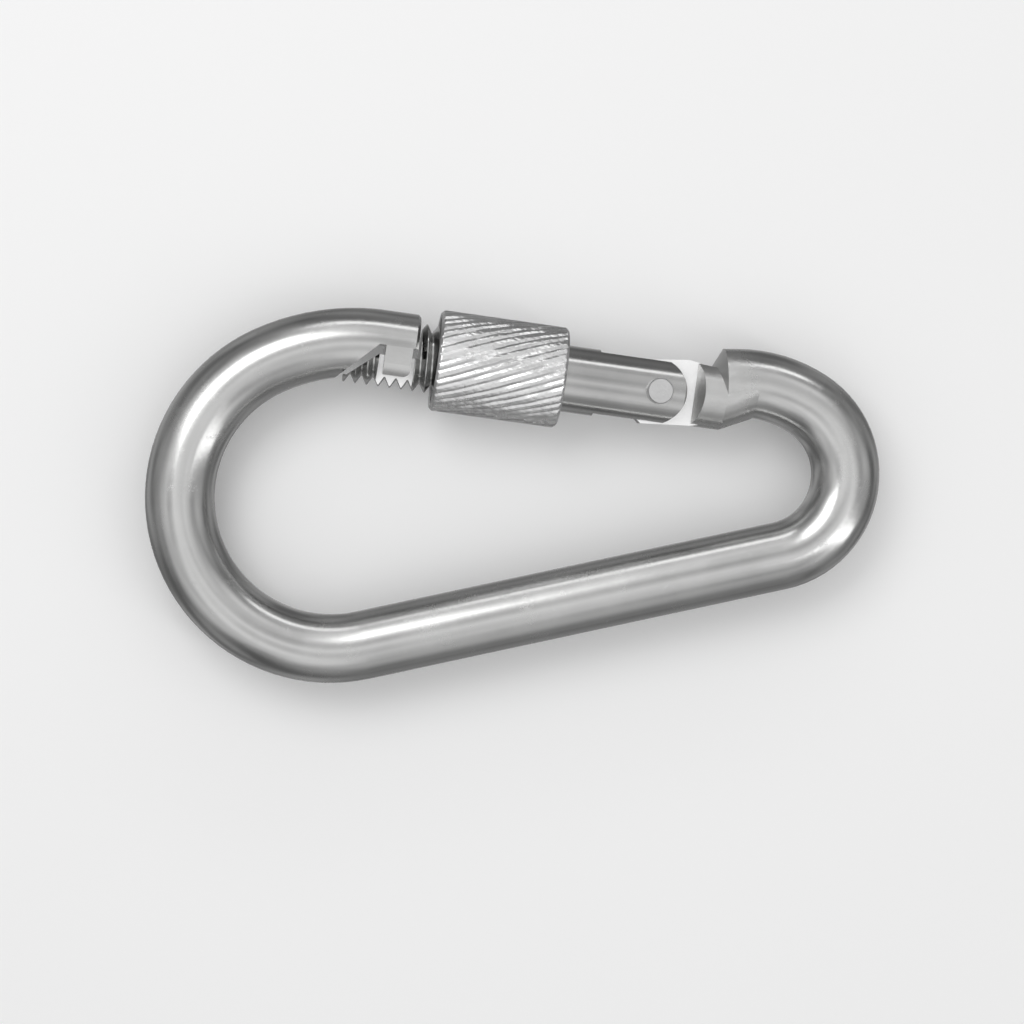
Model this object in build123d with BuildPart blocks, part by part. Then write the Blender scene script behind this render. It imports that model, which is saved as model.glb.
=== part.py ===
from build123d import *
import math
import os

# Pear-shaped screw-lock carabiner of round steel bar, in millimetres.
# The ring lies in the XY plane. The origin is the centre of the wide bend. X runs along the gate's
# axis towards the hinge, Y points out through the gate side, and Z is square to the ring.

# Bar and its centre-line, from the nose's end face round to the hinge
BAR_RADIUS = 5.5
NOSE_STRAIGHT = 5.45
NOSE_BEND_RADIUS = 33.0
NOSE_BEND_TURN = 32.4
WIDE_BEND_RADIUS = 24.05
WIDE_BEND_TURN = 167.3
SPINE_LENGTH = 68.95
NARROW_BEND_RADIUS = 13.5
NARROW_BEND_TURN = 135.7
HEEL_BEND_RADIUS = 21.4
HEEL_BEND_TURN = 32.2
HEEL_STRAIGHT = 2.4

# Where the nose's end face and the gate lie
BEND_STEP = NOSE_BEND_RADIUS - WIDE_BEND_RADIUS
NOSE_X = NOSE_STRAIGHT + BEND_STEP * math.sin(math.radians(NOSE_BEND_TURN))
NOSE_Y = NOSE_BEND_RADIUS - BEND_STEP * math.cos(math.radians(NOSE_BEND_TURN))
GATE_DROP = 1.3
GATE_Y = NOSE_Y - GATE_DROP
PIN_FROM_NOSE = 38.9
PIN_X = NOSE_X + PIN_FROM_NOSE

# Latch: the nose's claw and the gate's T-head
ROOF_Y = GATE_Y + 1.15
RECESS_LENGTH = 6.15
CLAW_LEFT = 5.07
CLAW_RIGHT = 0.8
CLAW_REACH = 3.5
CLAW_HALF_WIDTH = 5.25
CLAW_OUTER_RADIUS = 5.5
CLAW_CORNER = 1.1
CLAW_SLOT_HALF = 2.05
WEB_HALF = 1.75
HEAD_LEFT = 11.15
HEAD_RIGHT = 5.95
HEAD_SLOPE_TOP = -0.35
HEAD_SLOPE_DROP = 4.3
WEB_RIGHT = 0.2
ROUND_START = 0.5
NOSE_EDGE = 0.45

# Gate rod and its thread
ROD_RADIUS = 5.35
PITCH = 1.85
THREAD_START = 11.4
THREAD_CORE = 4.2
THREAD_CREST = 5.45
THREAD_BASE_HALF = 0.82
THREAD_CREST_HALF = 0.07
THREAD_END = 18.3
RELIEF_END = 20.0
BORE_RADIUS = 3.0
BORE_BOTTOM = 22.2
SLOT_HALF = 2.1
SLOT_START = 9.7
EAR_REACH = 4.5
EAR_RADIUS = 5.7

# Hinge: neck, tongue and rivet, from the pin's centre
NECK_START = 6.15
NECK_END = 11.0
NECK_MERGE = 16.0
NECK_MERGE_RISE = 3.15
NECK_RADIUS = 5.2
NECK_RISE = 0.45
NECK_FLAT = 5.15
SHOULDER_RUN = 1.4
LEDGE_LENGTH = 1.9
LEDGE_TAPER = 57.0
TONGUE_HALF = 1.8
TONGUE_LEFT = 3.4
PIN_RADIUS = 1.75
PIN_CLEARANCE = 0.05
HEAD_RADIUS = 2.05
HEAD_SEAT = 4.9
HEAD_TOP = 6.85
HEAD_EDGE = 0.15

# Plunger and spring in the gate's bore
PLUNGER_RADIUS = 1.95
PLUNGER_GAP = 0.05
FLANGE_RADIUS = 2.75
FLANGE_NEAR = 10.3
FLANGE_LENGTH = 1.2
WIRE_RADIUS = 0.4
COIL_RADIUS = 2.25
COIL_TURNS = 6

# Locking sleeve: from the nose's end face when screwed right back
SLEEVE_START = 3.15
SLEEVE_LENGTH = 20.5
SLEEVE_RADIUS = 8.1
SLEEVE_CHAMFER = 0.5
LATCH_BORE_RADIUS = 7.15
LATCH_BORE_DEPTH = 6.3
NUT_LENGTH = 9.4
NUT_BORE = 5.62
NUT_TIP = 4.5
NUT_BASE_HALF = 0.8
NUT_TIP_HALF = 0.14
HINGE_BORE_RADIUS = 5.75
RIM_LENGTH = 1.2
RIM_GAP = 0.02

REACH = 20.0


def gate_point(x, y):
    """A point given from the nose's end face, on the gate's axis."""
    return (NOSE_X + x, GATE_Y + y)


def pin_point(x, y):
    """A point given from the hinge pin's centre, on the gate's axis."""
    return (PIN_X + x, GATE_Y + y)


def across_gate(x):
    """The plane square to the gate's axis, x from the nose's end face. It faces the hinge."""
    return Plane(origin=(NOSE_X + x, GATE_Y, 0), x_dir=(0, 1, 0), z_dir=(1, 0, 0))


def across_hinge(x, rise=0.0):
    """The plane square to the gate's axis, x from the hinge pin. It faces the hinge end."""
    return Plane(origin=(PIN_X + x, GATE_Y + rise, 0), x_dir=(0, 1, 0), z_dir=(1, 0, 0))


# Bar: one round rod bent round the whole ring
with BuildLine() as bar_line:
    nose_run = Line((NOSE_X, NOSE_Y), (NOSE_X - NOSE_STRAIGHT, NOSE_Y))
    nose_bend = JernArc(nose_run @ 1, nose_run % 1, NOSE_BEND_RADIUS, NOSE_BEND_TURN)
    wide_bend = JernArc(nose_bend @ 1, nose_bend % 1, WIDE_BEND_RADIUS, WIDE_BEND_TURN)
    spine = Line(wide_bend @ 1, wide_bend @ 1 + SPINE_LENGTH * (wide_bend % 1))
    narrow_bend = JernArc(spine @ 1, spine % 1, NARROW_BEND_RADIUS, NARROW_BEND_TURN)
    heel_bend = JernArc(narrow_bend @ 1, narrow_bend % 1, HEEL_BEND_RADIUS, HEEL_BEND_TURN)
    heel_run = Line(heel_bend @ 1, heel_bend @ 1 + HEEL_STRAIGHT * (heel_bend % 1))

with BuildPart() as bar:
    with BuildSketch(Plane(origin=bar_line.line @ 0, z_dir=bar_line.line % 0)):
        Circle(BAR_RADIUS)
    sweep(path=bar_line.line)
    chamfer(bar.faces().sort_by_distance((NOSE_X, NOSE_Y, 0))[0].edges(), NOSE_EDGE)
    # Ledge: the bar's end slopes in to the neck
    with BuildSketch(Plane(origin=heel_run @ 1, z_dir=heel_run % 1)):
        Circle(BAR_RADIUS)
    extrude(amount=LEDGE_LENGTH, taper=LEDGE_TAPER)

# Neck: a round stub set inwards from the bar, which runs out into the bar's inner side
with BuildPart() as neck:
    with BuildSketch(across_hinge(NECK_START, NECK_RISE)):
        Circle(NECK_RADIUS)
    extrude(amount=NECK_END - NECK_START)
    with BuildSketch(across_hinge(NECK_END, NECK_RISE)):
        Circle(NECK_RADIUS)
    with BuildSketch(across_hinge(NECK_MERGE, NECK_MERGE_RISE)):
        Circle(BAR_RADIUS - 0.05)
    loft()
    # The flat on the neck's outer side
    with BuildSketch(Plane.XY):
        with BuildLine():
            Polyline(
                pin_point(NECK_START - 1, NECK_FLAT + 0.3),
                pin_point(NECK_END, NECK_FLAT - 0.2),
                pin_point(NECK_END, NECK_FLAT + 3),
                pin_point(NECK_START - 1, NECK_FLAT + 3),
                close=True,
            )
        make_face()
    extrude(amount=REACH, both=True, mode=Mode.SUBTRACT)
    # The shoulders on both sides of the tongue lean back
    shoulder_plane = Plane(origin=(PIN_X, GATE_Y, 0), x_dir=(1, 0, 0), z_dir=(0, 1, 0))
    for side in (-1, 1):
        with BuildSketch(shoulder_plane):
            with BuildLine():
                Polyline(
                    (NECK_START - 1, side * TONGUE_HALF),
                    (NECK_START, side * TONGUE_HALF),
                    (NECK_START + SHOULDER_RUN, side * (NECK_RADIUS + 0.3)),
                    (NECK_START - 1, side * (NECK_RADIUS + 0.3)),
                    close=True,
                )
            make_face()
        extrude(amount=REACH, both=True, mode=Mode.SUBTRACT)

# Tongue: the flattened end that the gate's fork straddles
with BuildPart() as tongue:
    with BuildSketch(Plane.XY):
        with BuildLine():
            Polyline(
                pin_point(-TONGUE_LEFT, 3.9),
                pin_point(-2.2, 4.85),
                pin_point(4.6, 5.7),
                pin_point(NECK_START + 0.1, 5.45),
                pin_point(NECK_START + 1.8, 4.6),
                pin_point(NECK_START + 1.8, -4.3),
                pin_point(NECK_START, -4.75),
                pin_point(-1.9, -5.45),
                pin_point(-TONGUE_LEFT, -4.2),
                close=True,
            )
        make_face()
    extrude(amount=TONGUE_HALF, both=True)
    fillet(tongue.edges().filter_by(Axis.Z).group_by(Axis.X)[0], 0.7)

# Recess: what is cut from the nose's underside to take the T-head
with BuildPart() as recess:
    with BuildSketch(Plane.XY):
        with BuildLine():
            Polyline(
                (NOSE_X + 2, ROOF_Y),
                (NOSE_X - RECESS_LENGTH, ROOF_Y),
                (NOSE_X - RECESS_LENGTH - 9, ROOF_Y - 9),
                (NOSE_X + 2, ROOF_Y - 9),
                close=True,
            )
        make_face()
    extrude(amount=REACH, both=True)

# Claw: two prongs that hang from the nose and hold the T-head
with BuildPart() as claw:
    with BuildSketch(across_gate(-CLAW_LEFT)):
        Circle(CLAW_OUTER_RADIUS)
        Rectangle(2 * REACH, 2 * CLAW_HALF_WIDTH, mode=Mode.INTERSECT)
        with Locations((-CLAW_REACH - REACH / 2, 0)):
            Rectangle(REACH, REACH, mode=Mode.SUBTRACT)
        with Locations((ROOF_Y - GATE_Y + 0.3 + REACH / 2, 0)):
            Rectangle(REACH, REACH, mode=Mode.SUBTRACT)
    extrude(amount=CLAW_LEFT - CLAW_RIGHT)
    claw_tip_edges = claw.edges().filter_by(Axis.Z).group_by(Axis.Y)[0]
    fillet(claw_tip_edges.sort_by(Axis.X)[-1], CLAW_CORNER)
    with BuildSketch(across_gate(-CLAW_LEFT)):
        with Locations((ROOF_Y - GATE_Y - REACH / 2, 0)):
            Rectangle(REACH, 2 * CLAW_SLOT_HALF)
    extrude(amount=CLAW_LEFT, mode=Mode.SUBTRACT)

with BuildPart() as body:
    add(bar.part)
    add(recess.part, mode=Mode.SUBTRACT)
    add(neck.part)
    add(tongue.part)
    add(claw.part)
    with BuildSketch(Plane.XY.offset(-REACH)):
        with Locations((PIN_X, GATE_Y)):
            Circle(PIN_RADIUS + PIN_CLEARANCE)
    extrude(amount=2 * REACH, mode=Mode.SUBTRACT)

# Thread ridge of the gate: a right-hand helix along the gate's axis
with BuildPart() as gate_thread:
    with BuildLine() as gate_helix:
        Helix(
            PITCH,
            THREAD_END + THREAD_START + 2 * PITCH,
            THREAD_CORE,
            center=(NOSE_X - THREAD_START - PITCH, GATE_Y, 0),
            direction=(1, 0, 0),
        )
    ridge_start = gate_helix.line @ 0
    ridge_outward = (ridge_start - Vector(NOSE_X - THREAD_START - PITCH, GATE_Y, 0)).normalized()
    with BuildSketch(Plane(origin=ridge_start, x_dir=ridge_outward, z_dir=gate_helix.line % 0)):
        with BuildLine():
            Polyline(
                (-0.1, -THREAD_BASE_HALF - 0.05),
                (THREAD_CREST - THREAD_CORE, -THREAD_CREST_HALF),
                (THREAD_CREST - THREAD_CORE, THREAD_CREST_HALF),
                (-0.1, THREAD_BASE_HALF + 0.05),
                close=True,
            )
        make_face()
    sweep(path=gate_helix.line, is_frenet=True)

with BuildPart() as gate:
    with BuildSketch(across_gate(-THREAD_START)):
        Circle(THREAD_CORE)
    extrude(amount=THREAD_START + THREAD_END)
    add(gate_thread.part)
    # Nothing of the ridge is left past the tip or in the relief groove
    with BuildSketch(across_gate(-HEAD_LEFT)):
        Circle(REACH)
    extrude(amount=-REACH, mode=Mode.SUBTRACT)
    with BuildSketch(across_gate(THREAD_END)):
        Circle(REACH)
    extrude(amount=REACH, mode=Mode.SUBTRACT)
    with BuildSketch(across_gate(THREAD_END)):
        Circle(THREAD_CORE)
    extrude(amount=RELIEF_END - THREAD_END)
    with BuildSketch(across_gate(RELIEF_END)):
        Circle(ROD_RADIUS)
    extrude(amount=PIN_FROM_NOSE + EAR_REACH - RELIEF_END)
    chamfer(gate.faces().filter_by(GeomType.PLANE).sort_by(Axis.X)[-1].edges(), 0.3)
    # T-head: flat above the axis, with a sloped nose
    with BuildSketch(Plane.XY):
        with BuildLine():
            Polyline(
                gate_point(-HEAD_LEFT - 1, -HEAD_SLOPE_DROP),
                gate_point(-HEAD_LEFT + 0.5, -HEAD_SLOPE_DROP),
                gate_point(-HEAD_RIGHT, HEAD_SLOPE_TOP),
                gate_point(ROUND_START, HEAD_SLOPE_TOP),
                gate_point(ROUND_START, ROD_RADIUS + 1),
                gate_point(-HEAD_LEFT - 1, ROD_RADIUS + 1),
                close=True,
            )
        make_face()
    extrude(amount=REACH, both=True, mode=Mode.SUBTRACT)
    # Web: both sides are cut away between the T-head and the full thread
    for side in (-1, 1):
        with BuildSketch(Plane.XY.offset(side * WEB_HALF)):
            with Locations(gate_point(-(HEAD_RIGHT + WEB_RIGHT) / 2, 0)):
                Rectangle(HEAD_RIGHT - WEB_RIGHT, REACH)
        extrude(amount=side * REACH, mode=Mode.SUBTRACT)
    # Fork slot, ears with round ends, and the bore for the spring
    with BuildSketch(Plane.XY):
        with Locations(pin_point(-SLOT_START + REACH / 2, 0)):
            Rectangle(REACH, REACH)
    extrude(amount=SLOT_HALF, both=True, mode=Mode.SUBTRACT)
    with BuildSketch(Plane.XY):
        with Locations(pin_point(REACH / 2 - 1, 0)):
            Rectangle(REACH, REACH)
        with Locations(pin_point(EAR_REACH - EAR_RADIUS, 0)):
            Circle(EAR_RADIUS, mode=Mode.SUBTRACT)
    extrude(amount=REACH, both=True, mode=Mode.SUBTRACT)
    with BuildSketch(across_hinge(-BORE_BOTTOM)):
        Circle(BORE_RADIUS)
    extrude(amount=BORE_BOTTOM - SLOT_START + 0.1, mode=Mode.SUBTRACT)
    with BuildSketch(Plane.XY.offset(-REACH)):
        with Locations((PIN_X, GATE_Y)):
            Circle(PIN_RADIUS)
    extrude(amount=2 * REACH, mode=Mode.SUBTRACT)
    # Flat seats for the rivet's heads
    for side in (-1, 1):
        with BuildSketch(Plane.XY.offset(side * HEAD_SEAT)):
            with Locations((PIN_X, GATE_Y)):
                Circle(HEAD_RADIUS + 0.1)
        extrude(amount=side * REACH, mode=Mode.SUBTRACT)

# Rivet: a plain shank with both ends swaged into flared heads
with BuildPart() as hinge_rivet:
    with BuildSketch(Plane(origin=(PIN_X, GATE_Y, 0), x_dir=(1, 0, 0), z_dir=(0, -1, 0))):
        with BuildLine():
            Polyline(
                (0, -HEAD_TOP),
                (HEAD_RADIUS - HEAD_EDGE, -HEAD_TOP),
                (HEAD_RADIUS, -HEAD_TOP + HEAD_EDGE),
                (HEAD_RADIUS - 0.15, -HEAD_SEAT),
                (PIN_RADIUS, -HEAD_SEAT),
                (PIN_RADIUS, HEAD_SEAT),
                (HEAD_RADIUS - 0.15, HEAD_SEAT),
                (HEAD_RADIUS, HEAD_TOP - HEAD_EDGE),
                (HEAD_RADIUS - HEAD_EDGE, HEAD_TOP),
                (0, HEAD_TOP),
                close=True,
            )
        make_face()
    revolve(axis=Axis((PIN_X, GATE_Y, 0), (0, 0, 1)))

# Plunger: a flanged pin that the spring presses against the tongue
with BuildPart() as plunger:
    with BuildSketch(across_hinge(-FLANGE_NEAR)):
        Circle(PLUNGER_RADIUS)
    extrude(amount=FLANGE_NEAR - TONGUE_LEFT - PLUNGER_GAP)
    with BuildSketch(across_hinge(-FLANGE_NEAR - FLANGE_LENGTH)):
        Circle(FLANGE_RADIUS)
    extrude(amount=FLANGE_LENGTH)
    chamfer(plunger.faces().filter_by(GeomType.PLANE).sort_by(Axis.X)[-1].edges(), 0.25)

# Closing spring: an open coil between the flange and the bottom of the bore
SPRING_START = PIN_X - BORE_BOTTOM + WIRE_RADIUS + 0.05
SPRING_END = PIN_X - FLANGE_NEAR - FLANGE_LENGTH - WIRE_RADIUS - 0.05
with BuildPart() as closing_spring:
    with BuildLine() as coil:
        Helix(
            (SPRING_END - SPRING_START) / COIL_TURNS,
            SPRING_END - SPRING_START,
            COIL_RADIUS,
            center=(SPRING_START, GATE_Y, 0),
            direction=(1, 0, 0),
        )
    with BuildSketch(Plane(origin=coil.line @ 0, z_dir=coil.line % 0)):
        Circle(WIRE_RADIUS)
    sweep(path=coil.line, is_frenet=True)

# Sleeve's nut thread: the same helix, half a pitch on, as an inward ridge
NUT_START = SLEEVE_START + LATCH_BORE_DEPTH
TURNS_TO_NUT = (NUT_START + THREAD_START + PITCH) / PITCH
GROOVE_TURN = 360 * (TURNS_TO_NUT - 0.5)
with BuildPart() as nut_thread:
    with BuildLine(mode=Mode.PRIVATE) as nut_helix:
        Helix(
            PITCH,
            NUT_LENGTH,
            NUT_BORE,
            center=(NOSE_X + NUT_START, GATE_Y, 0),
            direction=(1, 0, 0),
        )
    nut_start = nut_helix.line @ 0
    nut_outward = (nut_start - Vector(NOSE_X + NUT_START, GATE_Y, 0)).normalized()
    with BuildSketch(Plane(origin=nut_start, x_dir=nut_outward, z_dir=nut_helix.line % 0)):
        with BuildLine():
            Polyline(
                (0.1, -NUT_BASE_HALF - 0.05),
                (NUT_TIP - NUT_BORE, -NUT_TIP_HALF),
                (NUT_TIP - NUT_BORE, NUT_TIP_HALF),
                (0.1, NUT_BASE_HALF + 0.05),
                close=True,
            )
        make_face()
    sweep(path=nut_helix.line, is_frenet=True)
nut_ridge = nut_thread.part.rotate(Axis((0, GATE_Y, 0), (1, 0, 0)), GROOVE_TURN)

with BuildPart() as locking_sleeve:
    with BuildSketch(across_gate(SLEEVE_START + RIM_LENGTH + RIM_GAP)):
        Circle(SLEEVE_RADIUS)
    extrude(amount=SLEEVE_LENGTH - RIM_LENGTH - RIM_GAP)
    chamfer(locking_sleeve.faces().sort_by(Axis.X)[-1].edges(), SLEEVE_CHAMFER)
    with BuildSketch(across_gate(SLEEVE_START)):
        Circle(LATCH_BORE_RADIUS)
    extrude(amount=LATCH_BORE_DEPTH, mode=Mode.SUBTRACT)
    with BuildSketch(across_gate(SLEEVE_START)):
        Circle(NUT_BORE)
    extrude(amount=SLEEVE_LENGTH, mode=Mode.SUBTRACT)
    with BuildSketch(across_gate(SLEEVE_START + LATCH_BORE_DEPTH + NUT_LENGTH)):
        Circle(HINGE_BORE_RADIUS)
    extrude(amount=SLEEVE_LENGTH, mode=Mode.SUBTRACT)
    add(nut_ridge)

# The sleeve's plain rim at the latch end, which the sleeve's own turn leaves unchanged
with BuildPart() as sleeve_rim:
    with BuildSketch(across_gate(SLEEVE_START)):
        Circle(SLEEVE_RADIUS)
        Circle(LATCH_BORE_RADIUS, mode=Mode.SUBTRACT)
    extrude(amount=RIM_LENGTH)
    rim_edges = sleeve_rim.edges().group_by(Axis.X)[0]
    chamfer(rim_edges.sort_by(SortBy.LENGTH)[-1], SLEEVE_CHAMFER)
    chamfer(sleeve_rim.edges().group_by(Axis.X)[0].sort_by(SortBy.LENGTH)[0], 0.2)

os.makedirs("parts", exist_ok=True)
body.part.label = "body"
export_step(body.part, "parts/body.step")
gate.part.label = "gate"
export_step(gate.part, "parts/gate.step")
hinge_rivet.part.label = "hinge_rivet"
export_step(hinge_rivet.part, "parts/hinge_rivet.step")
plunger.part.label = "plunger"
export_step(plunger.part, "parts/plunger.step")
closing_spring.part.label = "closing_spring"
export_step(closing_spring.part, "parts/closing_spring.step")
locking_sleeve.part.label = "locking_sleeve"
export_step(locking_sleeve.part, "parts/locking_sleeve.step")
sleeve_rim.part.label = "sleeve_rim"
export_step(sleeve_rim.part, "parts/sleeve_rim.step")
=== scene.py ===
import math

import bpy
import numpy as np
from mathutils import Matrix, Vector


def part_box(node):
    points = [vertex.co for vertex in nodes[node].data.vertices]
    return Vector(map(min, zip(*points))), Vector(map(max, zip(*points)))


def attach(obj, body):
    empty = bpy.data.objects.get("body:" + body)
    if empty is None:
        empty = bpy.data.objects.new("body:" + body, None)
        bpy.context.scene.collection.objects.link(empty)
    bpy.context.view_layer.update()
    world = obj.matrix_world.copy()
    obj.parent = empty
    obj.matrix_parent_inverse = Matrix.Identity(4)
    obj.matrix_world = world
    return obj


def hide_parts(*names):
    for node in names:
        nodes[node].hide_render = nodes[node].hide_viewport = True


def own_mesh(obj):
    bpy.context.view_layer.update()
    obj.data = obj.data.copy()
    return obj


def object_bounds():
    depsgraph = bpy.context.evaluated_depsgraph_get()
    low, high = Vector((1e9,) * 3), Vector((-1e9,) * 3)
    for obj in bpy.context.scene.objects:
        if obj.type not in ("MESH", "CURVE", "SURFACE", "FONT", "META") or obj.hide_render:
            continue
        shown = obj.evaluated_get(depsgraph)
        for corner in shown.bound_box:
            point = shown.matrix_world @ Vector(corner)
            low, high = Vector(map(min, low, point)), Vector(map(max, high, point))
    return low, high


MM = 0.001
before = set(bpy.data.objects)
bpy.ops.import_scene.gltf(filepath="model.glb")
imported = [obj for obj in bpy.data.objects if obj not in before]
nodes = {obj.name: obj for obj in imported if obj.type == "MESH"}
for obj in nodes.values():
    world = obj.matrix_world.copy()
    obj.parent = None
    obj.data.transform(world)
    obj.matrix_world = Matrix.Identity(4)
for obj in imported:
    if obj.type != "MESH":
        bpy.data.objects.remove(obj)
cad_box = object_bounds()
noise = np.random.default_rng(11)

# Sleeve and its nut thread, in millimetres
PITCH = 1.85
SLEEVE_RADIUS = 8.1
SLEEVE_BEVEL = 0.45
LATCH_BORE_RADIUS = 7.15
LATCH_BORE_DEPTH = 6.3
LATCH_LEAD_IN = 0.2
NUT_LENGTH = 9.4
NUT_BORE = 5.62
NUT_TIP = 4.5
NUT_TIP_HALF = 0.14
NUT_FOOT_HALF = 0.80
NUT_RUN_OUT = 0.5
NUT_SHOULDER = 0.02
NUT_FILLET = 0.1
HINGE_BORE_RADIUS = 5.75
HINGE_LEAD_IN = 0.15
TIP_REACH = 0.03
AROUND = 576
OUTSIDE_STATIONS = 110
NUT_STATIONS = 52

# Knurl: deep grooves one way, faint ones the other. Widths are shares of one ridge's spacing
RIDGES = 36
RIDGE_LEAN = math.radians(24)
GROOVE_DEPTH = 0.28
GROOVE_HALF = 0.33
GROOVE_SHALLOWEST = 0.65
GROOVE_STRAY = 0.10
GROOVE_WAVE = 0.15
GROOVE_WAVE_RATE = 1.3
CROSS_RIDGES = 46
CROSS_DEPTH = 0.018
CROSS_HALF = 0.28

# Closing spring, in millimetres
COIL_TURNS = 6
COIL_RADIUS = 2.25
WIRE_RADIUS = 0.4
WIRE_SIDES = 12
STEPS_PER_TURN = 48


def in_mm(node):
    low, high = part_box(node)
    return np.array(low) / MM, np.array(high) / MM


rivet_low, rivet_high = in_mm("hinge_rivet")
PIN_X = (rivet_low[0] + rivet_high[0]) / 2
AXIS_Y = (rivet_low[1] + rivet_high[1]) / 2


# ---------------------------------------------------------------- shader helpers
def noise_texture(tree, vector, scale, detail, roughness):
    node = tree.nodes.new("ShaderNodeTexNoise")
    node.inputs["Scale"].default_value = scale
    node.inputs["Detail"].default_value = detail
    node.inputs["Roughness"].default_value = roughness
    tree.links.new(vector, node.inputs["Vector"])
    return node.outputs["Fac"]


def remap(tree, value, low, high, to_low, to_high):
    node = tree.nodes.new("ShaderNodeMapRange")
    node.inputs["From Min"].default_value = low
    node.inputs["From Max"].default_value = high
    node.inputs["To Min"].default_value = to_low
    node.inputs["To Max"].default_value = to_high
    tree.links.new(value, node.inputs["Value"])
    return node.outputs["Result"]


def combine(tree, kind, a, b=0.0):
    node = tree.nodes.new("ShaderNodeMath")
    node.operation = kind
    for socket, value in ((node.inputs[0], a), (node.inputs[1], b)):
        if isinstance(value, float):
            socket.default_value = value
        else:
            tree.links.new(value, socket)
    return node.outputs["Value"]


def z_of(tree, vector):
    node = tree.nodes.new("ShaderNodeSeparateXYZ")
    tree.links.new(vector, node.inputs["Vector"])
    return node.outputs["Z"]


def socket_called(sockets, identifier):
    return next(s for s in sockets if s.identifier == identifier)


# ---------------------------------------------------------------- materials
FLAT_NORMAL = (0.97, 0.995)
FLAT_HEIGHT = (2.2 * MM, 2.0 * MM)
# Whiter colour painted on the flats square to Z: a painted highlight
FLAT_HIGHLIGHT_COLOUR = (0.97, 0.97, 0.97, 1)
CLOUD_RANGE = (0.30, 0.70)
CLOUD_SHADE = 0.86
SCUFF_RANGE = (0.56, 0.70)
SCUFF_HEIGHT = 0.5
SCUFF_ROUGHNESS = 0.10
FLAT_ROUGHNESS = 0.14
FORGED_ROUGHNESS = 0.22
FORGED_HEIGHT = 14.0


def steel(name, tint, rough, grain, bump, marks=None):
    """Bare steel: cloudy tone and roughness, fine grain and scuffs, and a painted highlight (a
    whiter colour) on the flats square to Z.

    marks is the middle and the radius of a place with forged marks.
    """
    mat = bpy.data.materials.new(name)
    mat.use_nodes = True
    tree = mat.node_tree
    shader = tree.nodes["Principled BSDF"]
    shader.inputs["Metallic"].default_value = 1.0
    place = tree.nodes.new("ShaderNodeTexCoord").outputs["Object"]

    clouds = noise_texture(tree, place, scale=70, detail=4, roughness=0.55)
    fine = noise_texture(tree, place, scale=grain, detail=3, roughness=0.6)
    scratchy = noise_texture(tree, place, scale=240, detail=8, roughness=0.75)
    scuffs = remap(tree, scratchy, *SCUFF_RANGE, 0.0, 1.0)

    tone = tree.nodes.new("ShaderNodeValToRGB")
    dark, light = tone.color_ramp.elements
    dark.position, light.position = CLOUD_RANGE
    dark.color = [c * CLOUD_SHADE for c in tint] + [1]
    light.color = list(tint) + [1]
    tree.links.new(clouds, tone.inputs["Fac"])

    # Flats: faces square to Z, close to the mid-plane, are ground and duller, which is real; their
    # whiter colour is a painted highlight that stands in for the white they reflect
    normal = tree.nodes.new("ShaderNodeNewGeometry").outputs["True Normal"]
    level = remap(tree, combine(tree, "ABSOLUTE", z_of(tree, normal)), *FLAT_NORMAL, 0.0, 1.0)
    inside = remap(tree, combine(tree, "ABSOLUTE", z_of(tree, place)), *FLAT_HEIGHT, 0.0, 1.0)
    ground_flat_and_highlight = combine(tree, "MULTIPLY", level, inside)
    # Painted highlight: the flats are mixed towards the whiter colour
    flat_highlight_mix = tree.nodes.new("ShaderNodeMix")
    flat_highlight_mix.data_type = "RGBA"
    socket_called(flat_highlight_mix.inputs, "B_Color").default_value = FLAT_HIGHLIGHT_COLOUR
    tree.links.new(ground_flat_and_highlight, socket_called(flat_highlight_mix.inputs, "Factor_Float"))
    tree.links.new(tone.outputs["Color"], socket_called(flat_highlight_mix.inputs, "A_Color"))
    tree.links.new(socket_called(flat_highlight_mix.outputs, "Result_Color"), shader.inputs["Base Color"])

    roughness = remap(tree, clouds, *CLOUD_RANGE, rough * 0.8, rough * 1.2)
    roughness = combine(tree, "ADD", roughness, combine(tree, "MULTIPLY", ground_flat_and_highlight, FLAT_ROUGHNESS))
    duller = combine(tree, "MULTIPLY", scuffs, SCUFF_ROUGHNESS)
    roughness = combine(tree, "ADD", roughness, duller)
    height = combine(tree, "ADD", fine, combine(tree, "MULTIPLY", scuffs, SCUFF_HEIGHT))
    if marks:
        middle, reach = marks
        away = tree.nodes.new("ShaderNodeVectorMath")
        away.operation = "DISTANCE"
        away.inputs[1].default_value = middle
        tree.links.new(place, away.inputs[0])
        near = remap(tree, away.outputs["Value"], reach, reach * 0.5, 0.0, 1.0)
        pits = noise_texture(tree, place, scale=640, detail=6, roughness=0.7)
        forged = combine(tree, "MULTIPLY", near, pits)
        duller = combine(tree, "MULTIPLY", forged, FORGED_ROUGHNESS)
        roughness = combine(tree, "ADD", roughness, duller)
        height = combine(tree, "ADD", height, combine(tree, "MULTIPLY", forged, FORGED_HEIGHT))
    tree.links.new(roughness, shader.inputs["Roughness"])
    relief = tree.nodes.new("ShaderNodeBump")
    relief.inputs["Strength"].default_value = 0.5
    relief.inputs["Distance"].default_value = bump
    tree.links.new(height, relief.inputs["Height"])
    tree.links.new(relief.outputs["Normal"], shader.inputs["Normal"])
    return mat


def dress(obj, mat):
    obj.data.materials.clear()
    obj.data.materials.append(mat)


NECK = Vector(((PIN_X + 8.5) * MM, (AXIS_Y + 2.5) * MM, 3.0 * MM))
NECK_REACH = 9.5 * MM

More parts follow.
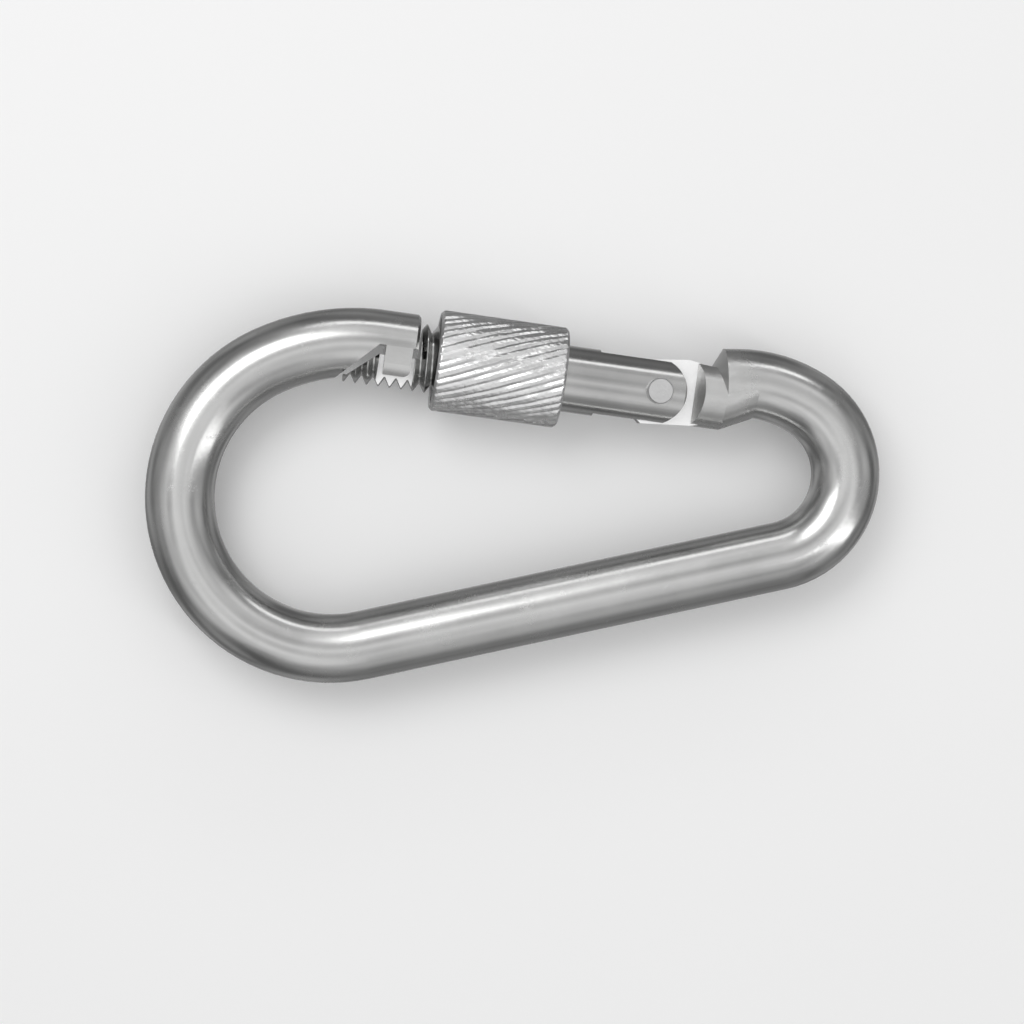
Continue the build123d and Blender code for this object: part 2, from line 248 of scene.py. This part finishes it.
bar_steel = steel("bar_steel", (0.62, 0.62, 0.615), 0.23, 1500, 0.000012, (NECK, NECK_REACH))
gate_steel = steel("gate_steel", (0.54, 0.54, 0.535), 0.20, 1700, 0.00001)
sleeve_steel = steel("sleeve_steel", (0.80, 0.80, 0.80), 0.27, 2200, 0.00002)
rivet_steel = steel("rivet_steel", (0.66, 0.66, 0.66), 0.34, 1500, 0.00012)
plunger_steel = steel("plunger_steel", (0.60, 0.60, 0.60), 0.22, 1700, 0.00001)
spring_steel = steel("spring_steel", (0.46, 0.46, 0.45), 0.30, 2600, 0.00001)

for name, mat in (
    ("body", bar_steel),
    ("gate", gate_steel),
    ("hinge_rivet", rivet_steel),
    ("plunger", plunger_steel),
):
    dress(nodes[name], mat)


# ---------------------------------------------------------------- mesh helpers
def mesh_object(name, verts, faces):
    mesh = bpy.data.meshes.new(name)
    mesh.from_pydata(verts, [], faces)
    mesh.update()
    obj = bpy.data.objects.new(name, mesh)
    bpy.context.scene.collection.objects.link(obj)
    return obj


def smooth(obj, degrees):
    """Rounded faces shade as curves, and real edges stay crisp."""
    bpy.ops.object.select_all(action="DESELECT")
    obj.select_set(True)
    bpy.context.view_layer.objects.active = obj
    bpy.ops.object.shade_auto_smooth(angle=math.radians(degrees))


def lathe_loop(name, stations, angles):
    """A closed ring of quads. Each station is an x and a radius, one for all angles or one each."""
    points = []
    for x, r in stations:
        x = np.broadcast_to(x, angles.shape)
        r = np.broadcast_to(r, angles.shape)
        points.append(np.stack([x, AXIS_Y + r * np.cos(angles), r * np.sin(angles)], axis=1))
    verts = np.concatenate(points) * MM
    turns = len(angles)
    faces = []
    for i in range(len(stations)):
        a = i * turns
        b = ((i + 1) % len(stations)) * turns
        for j in range(turns):
            k = (j + 1) % turns
            faces.append((a + k, b + k, b + j, a + j))
    return mesh_object(name, verts.tolist(), faces)


# ---------------------------------------------------------------- knurled sleeve
groove_scale = noise.uniform(GROOVE_SHALLOWEST, 1.0, RIDGES)
groove_shift = noise.uniform(-GROOVE_STRAY, GROOVE_STRAY, RIDGES)
groove_wave = noise.uniform(0, 2 * math.pi, RIDGES)


def knurl(along, angle):
    """How far the cut goes below the crest, at a distance along the sleeve and an angle round it."""
    lean = math.tan(RIDGE_LEAN) / SLEEVE_RADIUS
    main = ((angle - lean * along) / (2 * math.pi) * RIDGES) % RIDGES
    which = np.floor(main).astype(int) % RIDGES
    off = np.abs(main - np.floor(main) - 0.5 - groove_shift[which])
    swell = np.sin(groove_wave[which] + GROOVE_WAVE_RATE * along)
    wander = 1 - GROOVE_WAVE + GROOVE_WAVE * swell
    depth = GROOVE_DEPTH * groove_scale[which] * wander * np.clip(1 - off / GROOVE_HALF, 0, 1)
    cross = ((angle + lean * along) / (2 * math.pi) * CROSS_RIDGES) % 1
    return depth + CROSS_DEPTH * np.clip(1 - np.abs(cross - 0.5) / CROSS_HALF, 0, 1)


def outside_stations(start, end, angles):
    """The knurled outside, from the latch end to the hinge end, with a bevel at each."""
    edge_radius = SLEEVE_RADIUS - SLEEVE_BEVEL
    stations = [(start, edge_radius)]
    for x in np.linspace(start + 0.01, end - 0.01, OUTSIDE_STATIONS):
        bevel = np.minimum(edge_radius + min(x - start, end - x), SLEEVE_RADIUS)
        crest = SLEEVE_RADIUS - knurl(x - start, -angles + math.pi / 2)
        stations.append((x, np.minimum(crest, bevel)))
    stations.append((end, edge_radius))
    return stations


def nut_phase():
    """The nut thread's phase, from the tip of the CAD's own ridge."""
    tips = []
    for v in nodes["locking_sleeve"].data.vertices:
        y = v.co.y / MM - AXIS_Y
        z = v.co.z / MM
        if math.hypot(y, z) < NUT_TIP + TIP_REACH:
            tips.append(math.atan2(z, y) - 2 * math.pi * (v.co.x / MM) / PITCH)
    return math.atan2(np.mean(np.sin(tips)), np.mean(np.cos(tips)))


def nut_stations(nut_start, nut_end, angles):
    """The nut's thread, from the hinge end to the latch end, run out at both."""
    phase = nut_phase()
    stations = []
    for x in np.linspace(nut_end, nut_start, NUT_STATIONS):
        turn = (angles - 2 * math.pi * x / PITCH - phase + math.pi) % (2 * math.pi) - math.pi
        off = np.abs(turn) / (2 * math.pi) * PITCH
        ridge = np.clip((NUT_FOOT_HALF - off) / (NUT_FOOT_HALF - NUT_TIP_HALF), 0, 1)
        fade = min(1.0, (x - nut_start) / NUT_RUN_OUT, (nut_end - x) / NUT_RUN_OUT)
        stations.append((x, NUT_BORE - (NUT_BORE - NUT_TIP) * ridge * max(fade, 0)))
    return stations


def build_sleeve():
    rim_low, _ = in_mm("sleeve_rim")
    _, high = in_mm("locking_sleeve")
    start = rim_low[0]
    end = high[0]
    nut_start = start + LATCH_BORE_DEPTH
    nut_end = nut_start + NUT_LENGTH
    angles = np.linspace(0, 2 * math.pi, AROUND, endpoint=False)

    stations = [(start, LATCH_BORE_RADIUS + LATCH_LEAD_IN)]
    stations += outside_stations(start, end, angles)
    stations.append((end, HINGE_BORE_RADIUS + HINGE_LEAD_IN))
    stations.append((end - HINGE_LEAD_IN, HINGE_BORE_RADIUS))
    stations.append((nut_end + NUT_SHOULDER, HINGE_BORE_RADIUS))
    stations += nut_stations(nut_start, nut_end, angles)
    stations.append((nut_start - NUT_SHOULDER, LATCH_BORE_RADIUS - NUT_FILLET))
    stations.append((nut_start - NUT_SHOULDER - NUT_FILLET, LATCH_BORE_RADIUS))
    stations.append((start + LATCH_LEAD_IN, LATCH_BORE_RADIUS))

    sleeve = lathe_loop("knurled_sleeve", stations, angles)
    dress(sleeve, sleeve_steel)
    smooth(sleeve, 40)
    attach(sleeve, "sleeve")
    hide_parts("locking_sleeve", "sleeve_rim")


# ---------------------------------------------------------------- closing spring
def build_spring():
    low, high = in_mm("closing_spring")
    start = low[0] + WIRE_RADIUS
    end = high[0] - WIRE_RADIUS
    along = Vector((1, 0, 0))
    steps = COIL_TURNS * STEPS_PER_TURN
    verts = []
    for i in range(steps + 1):
        share = i / steps
        angle = 2 * math.pi * COIL_TURNS * share
        out = Vector((0, math.cos(angle), math.sin(angle)))
        centre = Vector((start + (end - start) * share, AXIS_Y, 0)) + COIL_RADIUS * out
        for k in range(WIRE_SIDES):
            a = 2 * math.pi * k / WIRE_SIDES
            point = centre + WIRE_RADIUS * (math.cos(a) * out + math.sin(a) * along)
            verts.append(point * MM)
    faces = []
    for i in range(steps):
        here = i * WIRE_SIDES
        ahead = here + WIRE_SIDES
        for k in range(WIRE_SIDES):
            n = (k + 1) % WIRE_SIDES
            faces.append((here + k, ahead + k, ahead + n, here + n))
    faces.append(tuple(range(WIRE_SIDES)))
    faces.append(tuple(steps * WIRE_SIDES + k for k in reversed(range(WIRE_SIDES))))

    spring = mesh_object("coil_spring", verts, faces)
    dress(spring, spring_steel)
    smooth(spring, 60)
    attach(spring, "gate")
    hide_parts("closing_spring")
    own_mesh(spring)


build_sleeve()
build_spring()

# ---------------------------------------------------------------- studio
FLOOR_HALF = 3.0
FLOOR_GAP = 0.00005
low, high = (np.array(corner) for corner in cad_box)
centre = Vector((low + high) / 2)


def floor(z):
    s = FLOOR_HALF
    corners = [(-s, -s, z), (s, -s, z), (s, s, z), (-s, s, z)]
    obj = mesh_object("floor", corners, [(0, 1, 2, 3)])
    mat = bpy.data.materials.new("floor")
    mat.use_nodes = True
    shader = mat.node_tree.nodes["Principled BSDF"]
    shader.inputs["Base Color"].default_value = (0.95, 0.95, 0.95, 1)
    shader.inputs["Roughness"].default_value = 0.9
    shader.inputs["Specular IOR Level"].default_value = 0.1
    obj.data.materials.append(mat)
    obj.visible_glossy = False


def softbox(name, place, size, power):
    """A rectangular lamp, aimed at the middle of the part."""
    light = bpy.data.lights.new(name, "AREA")
    light.shape = "RECTANGLE"
    light.size, light.size_y = size
    light.energy = power
    obj = bpy.data.objects.new(name, light)
    obj.location = centre + Vector(place)
    obj.rotation_euler = (centre - obj.location).to_track_quat("-Z", "Y").to_euler()
    bpy.context.scene.collection.objects.link(obj)


# Brightness of the surroundings, from straight below (0) to straight above (1)
SKY_STOPS = ((0.0, 0.34), (0.46, 0.24), (0.56, 0.26), (0.68, 0.38), (0.84, 0.70), (1.0, 0.78))
CARD_SCALE = 2.3
CARD_RANGE = (0.35, 0.65)
CARD_CONTRAST = (0.55, 1.45)


def build_world():
    """A grey gradient with soft light and dark patches, for the steel to reflect."""
    world = bpy.data.worlds.new("studio")
    bpy.context.scene.world = world
    world.use_nodes = True
    tree = world.node_tree
    background = tree.nodes["Background"]
    where = tree.nodes.new("ShaderNodeTexCoord").outputs["Generated"]
    ramp = tree.nodes.new("ShaderNodeValToRGB")
    for i, (place, value) in enumerate(SKY_STOPS):
        stop = ramp.color_ramp.elements[i] if i < 2 else ramp.color_ramp.elements.new(place)
        stop.position = place
        stop.color = (value, value, value, 1)
    tree.links.new(remap(tree, z_of(tree, where), -1, 1, 0.0, 1.0), ramp.inputs["Fac"])
    patches = noise_texture(tree, where, scale=CARD_SCALE, detail=1.0, roughness=0.5)
    cards = remap(tree, patches, *CARD_RANGE, *CARD_CONTRAST)
    lit = tree.nodes.new("ShaderNodeVectorMath")
    lit.operation = "SCALE"
    tree.links.new(ramp.outputs["Color"], lit.inputs[0])
    tree.links.new(cards, lit.inputs["Scale"])
    tree.links.new(lit.outputs["Vector"], background.inputs["Color"])
    background.inputs["Strength"].default_value = 1.0


floor(float(low[2]) - FLOOR_GAP)
softbox("key", (-0.25, 0.22, 0.45), (0.35, 0.25), 0.75)
softbox("fill", (0.40, -0.15, 0.35), (0.08, 0.50), 0.28)
softbox("back", (0.05, 0.50, 0.20), (0.5, 0.08), 0.22)
build_world()
bpy.context.scene.view_settings.view_transform = "Standard"

# ---------------------------------------------------------------- camera
DISTANCE = 0.45
ROLL = math.radians(-7.8)
TIP = math.radians(2)
SWING = math.radians(5)
VIEW_WIDTH = 164.366 * MM
SENSOR_WIDTH = 36


def build_camera():
    """Above the part, VIEW_WIDTH across at the part's middle, turned by the three angles."""
    swing = Matrix.Rotation(SWING, 3, "Y")
    turn = swing @ Matrix.Rotation(TIP, 3, "X") @ Matrix.Rotation(ROLL, 3, "Z")
    lens = bpy.data.cameras.new("camera")
    lens.sensor_width = SENSOR_WIDTH
    lens.lens = SENSOR_WIDTH * DISTANCE / VIEW_WIDTH
    lens.clip_start = 0.01
    camera = bpy.data.objects.new("camera", lens)
    view = turn.transposed()
    place = centre + view @ Vector((0, 0, DISTANCE))
    camera.matrix_world = Matrix.Translation(place) @ view.to_4x4()
    bpy.context.scene.collection.objects.link(camera)
    bpy.context.scene.camera = camera


build_camera()
